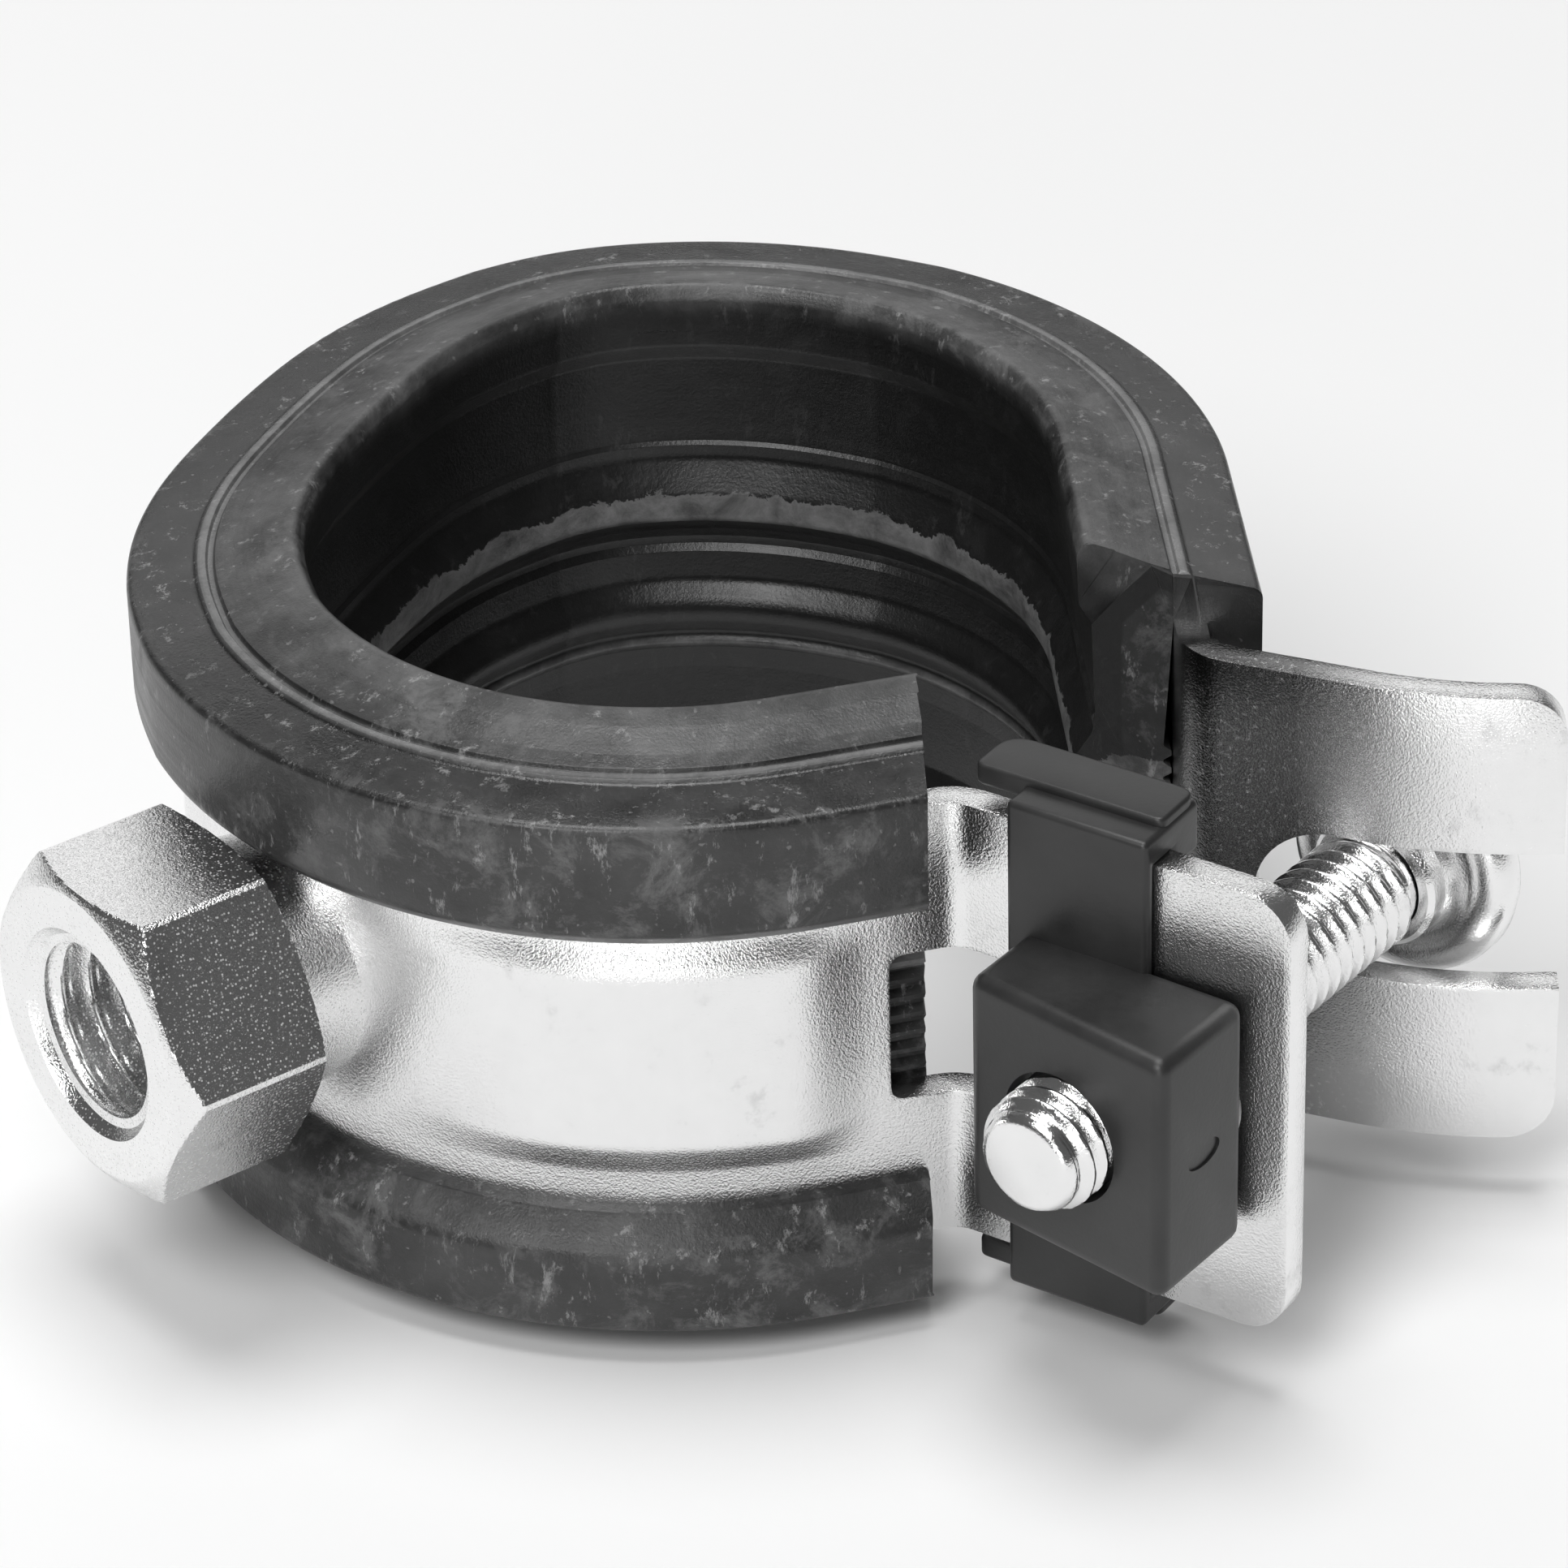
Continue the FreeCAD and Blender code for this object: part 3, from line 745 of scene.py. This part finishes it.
# --------------------------------------------------------------------- straps
def panelled_section(rise):
    """Strap section with the stamped panel raised by some part of its full height."""
    t = SHEET / 2
    rows = np.linspace(-PANEL_ROWS_HALF, PANEL_ROWS_HALF, 45)
    zs = np.concatenate([[-BAND_HALF, -8.0], rows, [8.0, BAND_HALF]])
    upper = smooth_step((zs - PANEL_TOP) / PANEL_UPPER_SLOPE)
    lower = np.clip((-zs - PANEL_BOTTOM) / PANEL_LOWER_SLOPE, 0, 1)
    lift = PANEL_RISE * rise * (1 - upper) * (1 - lower)
    outer = np.column_stack([t + lift, zs])
    inner = np.column_stack([-t + lift, zs])[::-1]
    return np.vstack([outer, inner])


def hinge_end(strap, levels):
    """Trims a strap round the hinge and rolls its tongues into knuckles."""
    tall = 2 * BAND_HALF
    for low, high in ((KNUCKLE_HALF, tall), (-tall, -KNUCKLE_HALF)):
        boolean(strap, disc("trim", KNUCKLE_R + HINGE_TRIM, low, high), "DIFFERENCE")
    for low, high in other_levels(levels):
        boolean(strap, disc("trim", KNUCKLE_R + HINGE_GAP, low, high), "DIFFERENCE")
    for low, high in levels:
        boolean(strap, disc("roll", KNUCKLE_R, low, high), "UNION")
    boolean(strap, disc("bore", PIN_HOLE_R, -9, 9), "DIFFERENCE")


def other_levels(levels):
    """The heights between the knuckles that the other strap uses."""
    edges = sorted([-KNUCKLE_HALF - 0.1] + [z for pair in levels for z in pair] + [KNUCKLE_HALF + 0.1])
    spans = list(zip(edges[:-1], edges[1:]))
    return [s for s in spans if s not in levels and s[1] - s[0] > 0.3]


def disc(name, radius, low, high):
    """Upright cylinder on the hinge's axis."""
    def place(a, b, c):
        return (HINGE[0] + a, HINGE[1] + b, c)
    return prism(name, oval(radius, radius, 48), place, low, high, ZINC_STRAP)


def corner_cutter(name, origin, heading, reach, side, half):
    """Takes the square corner off an ear's free end, leaving a rounded one."""
    r = CORNER_R
    edge = half * side
    past = edge + side * 2
    arc = [(reach - r + r * math.sin(a), edge - side * (r - r * math.cos(a)))
           for a in np.linspace(0, math.pi / 2, 9)]
    outline = [(reach - r, past)] + arc + [(reach + 2, edge - side * r), (reach + 2, past)]
    return prism(name, outline, along_heading(origin, heading), -4, 4, ZINC_STRAP)


def fixed_strap():
    start, heading = fixed_start()
    stations = path(start, heading, fixed_steps(), STRAP_STEP)
    arc_length = BAND_MID * math.radians(FIXED_EAR_ANGLE - FIXED_TAIL_ANGLE)
    nut_at = FIXED_TAIL + BAND_MID * math.radians(-90 - FIXED_TAIL_ANGLE)
    ends_at = FIXED_TAIL + arc_length + PANEL_PAST_ARC

    def section(s):
        from_nut = smooth_step((abs(s - nut_at) - PANEL_NUT_CLEAR) / PANEL_NUT_FADE)
        to_ear = smooth_step((ends_at - s) / PANEL_EAR_FADE)
        from_hinge = smooth_step((s - PANEL_FROM_HINGE) / PANEL_FADE)
        return panelled_section(float(from_nut * to_ear * from_hinge))

    strap = sweep("fixed_strap", stations, section, ZINC_STRAP)
    at, ear = stations_end(fixed_steps()[:4], start, heading)
    for side in (1, -1):
        boolean(strap, corner_cutter("corner", at, ear, EAR_LENGTH, side, BAND_HALF), "DIFFERENCE")
    slot = stadium(-1.0, EAR_SLOT_END, EAR_SLOT_HALF)
    boolean(strap, prism("slot", slot, along_heading(at, ear), -3, 3, ZINC_STRAP), "DIFFERENCE")
    along = FIXED_EAR_ANGLE + 90
    back = at - heading_vector(along) * (WINDOW_BACK + BEND_MID)
    window = rectangle(0, WINDOW_BACK + 3.6, -WINDOW_HALF, WINDOW_HALF, 0.8)
    tool = prism("window", window, along_heading(back, along), -3, 4, ZINC_STRAP)
    boolean(strap, tool, "DIFFERENCE")
    high = MIDDLE_HALF + HINGE_GAP
    hinge_end(strap, [(-KNUCKLE_HALF, -high), (high, KNUCKLE_HALF)])
    finish_strap(strap, "fixed_half", "fixed_band")
    return strap


def stations_end(steps, start, heading):
    last = path(start, heading, steps)[-1]
    return last[:2], last[2]


def stadium(a0, a1, half):
    """Slot outline with a round end at a1."""
    arc = [(a1 - half + half * math.sin(t), -half * math.cos(t)) for t in np.linspace(0, math.pi, 25)]
    return [(a0, -half)] + arc + [(a0, half)]


def finish_strap(strap, body, cad_node):
    soften(strap, STRAP_EDGE, 2, 45)
    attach(strap, body)
    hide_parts(cad_node)


def hinged_strap():
    start, heading = hinged_start()
    tail = backwards(path(start, heading + 180, fork_steps(), STRAP_STEP))
    ring = path(start, heading, hinged_ring_steps(), STRAP_STEP)
    stations = np.vstack([tail[:-1], ring])
    run = run_length(stations)
    fork_run = sum([BEND_MID * math.radians(FORK_BEND), FORK_FLAT,
                    FLARE_R * math.radians(FLARE_TURN), FLARE_TIP])

    def section(s):
        wide = 1 - smooth_step((s - fork_run + 1.0) / 1.5)
        from_fork = smooth_step((s - fork_run - PANEL_FROM_FORK) / PANEL_FADE)
        from_hinge = smooth_step((run[-1] - PANEL_FROM_HINGE - s) / PANEL_FADE)
        outline = panelled_section(float(from_fork * from_hinge))
        outline[:, 1] *= 1 + wide * (FORK_HALF / BAND_HALF - 1)
        return outline

    strap = sweep("hinged_strap", stations, section, ZINC_FORK)
    tip, tip_heading = stations_end(fork_steps(), start, heading + 180)
    for side in (1, -1):
        boolean(strap, corner_cutter("corner", tip, tip_heading, 0.0, side, FORK_HALF), "DIFFERENCE")
    chord = tip_heading - FLARE_TURN / 2
    slot = [(-a, b) for a, b in stadium(-4.0, SLOT_DEPTH, SLOT_HALF)]
    boolean(strap, prism("slot", slot, along_heading(tip, chord), -5, 5, ZINC_STRAP), "DIFFERENCE")
    hinge_end(strap, [(-MIDDLE_HALF, MIDDLE_HALF)])
    finish_strap(strap, "hinged_half", "hinged_band")
    return strap


# -------------------------------------------------------------- connection nut
def thread_wall(begin, end, crest, root, pitch, count=64, per_turn=14):
    """Rows of a helical thread: (distance, radius at each angle). It fades out at both ends."""
    rows = []
    steps = max(2, int(round((end - begin) / pitch * per_turn)))
    for k in range(steps + 1):
        along = begin + (end - begin) * k / steps
        radii = []
        for i in range(count):
            phase = (along / pitch - i / count) % 1.0
            tooth = abs(phase - 0.5) * 2
            tooth = np.clip((tooth - 0.12) / 0.72, 0, 1)
            fade = min(1.0, (along - begin) / (0.7 * pitch) + 0.25, (end - along) / (0.7 * pitch) + 0.25)
            radii.append(root + (crest - root) * tooth * fade)
        rows.append((along, radii))
    return rows


def ring_solid(name, origin, axis, rows, material, count=64, closed=False):
    """Surface through rings given as (distance along, radius or radii)."""
    axis = Vector(axis).normalized()
    side = axis.orthogonal().normalized()
    other = axis.cross(side)
    verts, faces, uvs = [], [], []
    for k, (along, radii) in enumerate(rows):
        for i in range(count):
            a = 2 * math.pi * i / count
            radius = radii[i] if hasattr(radii, "__len__") else radii
            verts.append(tuple(Vector(origin) + axis * float(along)
                               + (side * math.cos(a) + other * math.sin(a)) * float(radius)))
            uvs.append((i / count, float(along) * 0.1))
    n = len(rows)
    for k in range(n - 1 if not closed else n):
        m = (k + 1) % n
        for i in range(count):
            j = (i + 1) % count
            faces.append((k * count + i, k * count + j, m * count + j, m * count + i))
    if not closed:
        faces.append(tuple(reversed(range(count))))
        faces.append(tuple((n - 1) * count + i for i in range(count)))
    return mesh_object(name, verts, faces, material, uvs)


def hex_radius(angle, flats):
    """Distance from the axis to a hexagon's side, with flats facing up and down."""
    sector = math.radians(60)
    local = (angle + sector / 2 - math.radians(90)) % sector - sector / 2
    return flats / 2 / math.cos(local)


def nut_outline(count, axis):
    """Function that gives the nut's radius at each angle, cut off where it passes the cap."""
    side = axis.orthogonal().normalized()
    other = axis.cross(side)
    angles = [2 * math.pi * i / count for i in range(count)]

    def outer(cap):
        radii = []
        for a in angles:
            d = side * math.cos(a) + other * math.sin(a)
            radii.append(min(hex_radius(math.atan2(d.z, d.x), NUT_FLATS), cap))
        return radii
    return outer


def nut_outside(outer):
    """Collar, back chamfer, flats and front chamfer."""
    corner = NUT_FLATS / math.sqrt(3)
    face_r = NUT_FLATS / 2 - NUT_FACE_INSET
    rows = [(COLLAR_FROM, COLLAR_R - 0.4), (24.0, COLLAR_R - 0.1), (24.8, COLLAR_R),
            (NUT_BACK - 0.25, COLLAR_R + 0.1), (NUT_BACK, COLLAR_R + 0.5), (NUT_BACK, outer(face_r))]
    chamfer = np.linspace(0.1, 1.0, 8)
    rows += [(NUT_BACK + NUT_BACK_CHAMFER * t, outer(face_r + (corner - face_r) * t)) for t in chamfer]
    rows += [(NUT_FRONT - NUT_FRONT_CHAMFER * t, outer(face_r + (corner - face_r) * t))
             for t in chamfer[::-1]]
    rows.append((NUT_FRONT, outer(face_r - 0.08)))
    return rows


def nut_inside(count):
    """Chamfered mouth, wide thread, step and narrower thread, from the front inwards."""
    m10_end = NUT_FRONT - M10_DEPTH
    mouth = [(0, 1.15), (0, 1.0), (0.15, 0.9), (0.5, 0.55)]
    rows = [(NUT_FRONT - down, M10[1] + wider) for down, wider in mouth]
    rows += thread_wall(m10_end, NUT_FRONT - 0.6, *M10, count)[::-1]
    rows += [(m10_end - 0.1, M10[1] - 0.1), (m10_end - 0.4, M8[1] + 0.2)]
    rows += thread_wall(M8_FROM, m10_end - 0.5, *M8, count)[::-1]
    rows += [(M8_FROM - 0.2, M8[1]), (M8_FROM - 0.6, M8[1])]
    return rows


def connection_nut():
    """Hexagon, chamfered at both ends, with a collar and a stepped threaded hole."""
    count = 180
    axis = Vector((0, -1, 0))
    rows = nut_outside(nut_outline(count, axis)) + nut_inside(count)
    nut = ring_solid("connection_nut_body", tuple(CENTRE), axis, rows, ZINC_NUT, count, closed=True)
    tidy_normals(nut, 20)
    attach(nut, "fixed_half")
    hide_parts("connection_nut")
    return nut


# ------------------------------------------------------------------------ screw
def flange_rows(seat):
    """The screw's head, from its outer face to the neck."""
    face = seat - FLANGE
    return [(face, 0.02), (face, FLANGE_R - 1.0), (face + 0.12, FLANGE_R - 0.55),
            (face + 0.45, FLANGE_R - 0.2), (face + 0.95, FLANGE_R), (seat - 0.85, FLANGE_R),
            (seat - 0.35, FLANGE_R - 0.18), (seat - 0.06, FLANGE_R - 0.6), (seat + 0.02, FLANGE_R - 1.0),
            (seat + 0.02, 4.3), (seat - 0.06, 4.2), (seat - 0.06, 3.4), (seat + 0.1, 2.9),
            (seat + 0.45, NECK_R + 0.05), (seat + NECK - 0.1, NECK_R)]


def closure_screw():
    seat = TIP_REACH - SHANK
    rows = flange_rows(seat)
    rows += thread_wall(seat + NECK, TIP_REACH - 0.55, THREAD_R, THREAD_ROOT, THREAD_PITCH)
    rows += [(TIP_REACH - 0.45, THREAD_ROOT + 0.05), (TIP_REACH - 0.12, THREAD_ROOT - 0.12),
             (TIP_REACH, THREAD_ROOT - 0.4), (TIP_REACH, 0.02)]
    screw = ring_solid("closure_screw", tuple(SCREW_POINT), SCREW_AXIS, rows, ZINC_TURNED)
    face = SCREW_POINT + SCREW_AXIS * (seat - FLANGE)
    place = along_heading(face, SCREW_HEADING + 90)
    half = RECESS_W / 2
    for outline in (rectangle(-RECESS_HALF, RECESS_HALF, -half, half, 0.2),
                    rectangle(-half, half, -RECESS_HALF, RECESS_HALF, 0.2)):
        tool = prism("recess", outline, place, -RECESS_DEPTH, 1.0, ZINC_TURNED)
        boolean(screw, tool, "DIFFERENCE")
    tidy_normals(screw, 40)
    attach(screw, "screw")
    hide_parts("clamp_screw")
    return screw


def collar_ring():
    begin = TIP_REACH - SHANK + RING_FROM_SEAT
    end = begin + RING
    rows = [(begin, RING_BORE), (begin, RING_R - RING_CHAMFER), (begin + RING_CHAMFER, RING_R),
            (end - RING_CHAMFER, RING_R), (end, RING_R - RING_CHAMFER), (end, RING_BORE)]
    ring = ring_solid("screw_neck_ring", tuple(SCREW_POINT), SCREW_AXIS, rows, ZINC_TURNED, closed=True)
    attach(ring, "screw_travel")
    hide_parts("neck_ring")
    return ring


# ----------------------------------------------------------------------- holder
def holder_clip(side):
    """Hooks over one edge of the ear: front plate, stepped roof with a tongue, and a lip."""
    ear = along_heading(SCREW_POINT, EAR_HEADING)
    back = SHEET + TAB_BACK
    step = TAB_HALF - ROOF_STEP
    foot = BLOCK_HALF - 1.5
    lip = BAND_HALF - TAB_HOOK
    over = BAND_HALF + HOLDER_FIT
    hook = [(-TAB_FRONT, foot), (-TAB_FRONT, step), (back - 0.06, step), (back - 0.06, lip),
            (SHEET + HOLDER_FIT, lip), (SHEET + HOLDER_FIT, over), (-CLIP_GAP, over), (-CLIP_GAP, foot)]
    clip = prism("clip", hook, lambda c, b, a: ear(a, b * side, c), TAB_LEFT, TAB_RIGHT, PLASTIC)
    soften(clip, CLIP_EDGE, 4, 35)
    roof_left = TAB_LEFT - TONGUE
    roof_right = TAB_RIGHT - 0.12
    roof = [(roof_left, ROOF_BACK_FROM, 0.5), (roof_right, ROOF_BACK_FROM, 0.5),
            (roof_right, back, 0.9), (roof_left, back, 1.5)]
    low, high = sorted((side * (TAB_HALF - TONGUE_T), side * TAB_HALF))
    slab = prism("slab", rounded(roof, 6), lambda a, c, b: ear(a, b, c), low, high, PLASTIC)
    soften(slab, SLAB_EDGE, 3, 50)
    boolean(clip, slab, "UNION")
    return clip


def holder_block():
    """Wedge in front of the ear, a hair off it, with an ejector mark on its outer side."""
    across = heading_vector(SCREW_HEADING + 90)
    out = heading_vector(SCREW_HEADING)
    ear = heading_vector(EAR_HEADING)
    front = heading_vector(EAR_HEADING - 90)
    at = SCREW_POINT[:2]

    def corner(reach):
        return at + across * reach + out * (BLOCK_DEPTH + BLOCK_WEDGE * reach)
    plan = [at + ear * BLOCK_LEFT + front * BLOCK_LEFT_GAP, corner(BLOCK_LEFT), corner(BLOCK_RIGHT),
            at + ear * BLOCK_RIGHT + front * SEAM]
    block = prism("screw_holder_body", plan, lambda x, y, z: (x, y, z), -BLOCK_HALF, BLOCK_HALF, PLASTIC)
    soften(block, BLOCK_EDGE, 5, 35)
    middle = (plan[2] + plan[3]) / 2 - across * 0.1
    pit = oval(PIT_HALF_LENGTH, PIT_HALF_WIDTH, 32)
    place = along_heading(middle, SCREW_HEADING)
    boolean(block, prism("pit", pit, place, -0.02, 1.5, PLASTIC), "DIFFERENCE")
    return block


def screw_holder():
    block = holder_block()
    for side in (1, -1):
        boolean(block, holder_clip(side), "UNION")
    hole = oval(HOLDER_HOLE, HOLDER_HOLE, 48)
    place = along_heading(SCREW_POINT, SCREW_HEADING + 90)
    boolean(block, prism("hole", hole, place, -12, 5, PLASTIC), "DIFFERENCE")
    tidy_normals(block, 40)
    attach(block, "fixed_half")
    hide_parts("screw_holder")
    return block


def repaint_cad(name, material):
    """Small pieces that are nearly out of sight keep their CAD shape."""
    obj = frame["nodes"][name]
    obj.data.materials.clear()
    obj.data.materials.append(material)


# ------------------------------------------------------------ studio and camera
CAMERA_AT = (0.24633, -0.17625, 0.18444)
CAMERA_FORWARD = (-0.68627, 0.50909, -0.51948)
CAMERA_ROLL = 1.41
CAMERA_LENS = 170.0
SENSOR = 36.0
FLOOR_HALF = 1500
FLOOR_THICK = 5.95
LIGHTS = [                       # name, place in metres, width, height, watts
    ("top", (-0.08, 0.0, 0.90), 0.55, 0.55, 4.7),
    ("back_left", (-0.62, 0.46, 0.46), 1.3, 0.5, 1.55),
    ("front", (0.26, -0.52, 0.62), 0.42, 0.42, 3.1),
    ("low_fill", (0.62, -0.62, 0.16), 0.4, 0.4, 1.2)]


def camera():
    data = bpy.data.cameras.new("camera")
    data.lens = CAMERA_LENS
    data.sensor_width = SENSOR
    data.clip_start = 0.01
    data.clip_end = 20
    obj = bpy.data.objects.new("camera", data)
    bpy.context.scene.collection.objects.link(obj)
    back = -Vector(CAMERA_FORWARD).normalized()
    right = Vector((0, 0, 1)).cross(back).normalized()
    up = back.cross(right)
    roll = math.radians(CAMERA_ROLL)
    rolled_right = right * math.cos(roll) - up * math.sin(roll)
    rolled_up = up * math.cos(roll) + right * math.sin(roll)
    matrix = Matrix((rolled_right, rolled_up, back)).transposed().to_4x4()
    matrix.translation = Vector(CAMERA_AT)
    obj.matrix_world = matrix
    bpy.context.scene.camera = obj


def soft_light(name, at, wide, tall, power):
    """Oval light panel that faces the object."""
    data = bpy.data.lights.new(name, "AREA")
    data.shape = "ELLIPSE"
    data.size = wide
    data.size_y = tall
    data.energy = power
    obj = bpy.data.objects.new(name, data)
    bpy.context.scene.collection.objects.link(obj)
    obj.location = at
    obj.rotation_euler = Vector(at).to_track_quat("Z", "Y").to_euler()


def pale_floor():
    material, tree, shader = new_material("studio_floor")
    shader.inputs["Base Color"].default_value = (0.95, 0.95, 0.95, 1)
    shader.inputs["Roughness"].default_value = 0.9
    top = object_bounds()[0].z / MM - 0.05
    outline = rectangle(-FLOOR_HALF, FLOOR_HALF, -FLOOR_HALF, FLOOR_HALF)
    floor = prism("studio_floor", outline, lambda a, b, c: (a, b, c), top - FLOOR_THICK, top, material)
    floor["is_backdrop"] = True


def studio():
    pale_floor()
    world = bpy.data.worlds.new("studio")
    world.use_nodes = True
    world.node_tree.nodes["Background"].inputs["Color"].default_value = (0.8, 0.8, 0.8, 1)
    world.node_tree.nodes["Background"].inputs["Strength"].default_value = 0.13
    bpy.context.scene.world = world
    bpy.context.scene.view_settings.view_transform = "Standard"
    for light in LIGHTS:
        soft_light(*light)


rubber_lining()
fixed_strap()
hinged_strap()
connection_nut()
closure_screw()
collar_ring()
screw_holder()
repaint_cad("hinge_pin", ZINC_TURNED)
repaint_cad("captive_nut", ZINC_TURNED)
studio()
camera()
